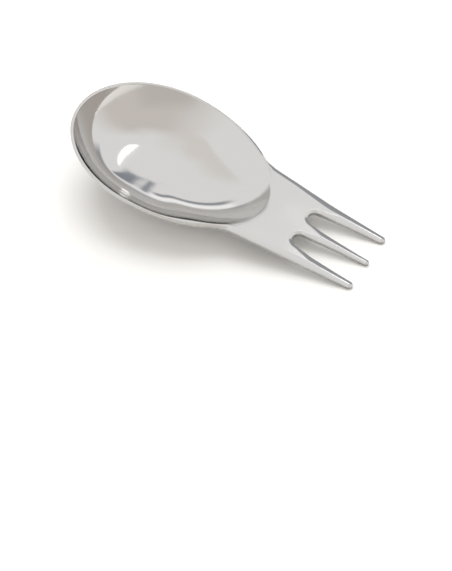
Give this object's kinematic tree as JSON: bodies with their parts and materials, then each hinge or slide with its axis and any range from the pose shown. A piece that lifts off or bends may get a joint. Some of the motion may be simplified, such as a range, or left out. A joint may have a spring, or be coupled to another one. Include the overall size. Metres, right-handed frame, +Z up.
{
  "type": "spork",
  "caption": "Compact pressed steel spork: an egg-shaped spoon bowl, a short flat handle level with its rim, and a tined fork end with round-bottomed slots.",
  "frame": {"origin": "centre of the footprint, on the surface the spork rests on", "axes": "+X along the length from the bowl towards the tine tips, +Y across the spork, +Z up from the table; the spork rests on the bowl's belly and the tine tips, so its rim plane slopes down towards the tips"},
  "size_m": [0.0914, 0.0448, 0.0188],
  "materials": {
    "steel": "mirror-polished stainless steel"
  },
  "bodies": {
    "root": {"bowl": "steel", "handle": "steel", "tine_left": "steel", "tine_middle": "steel", "tine_right": "steel"}
  },
  "joints": []
}
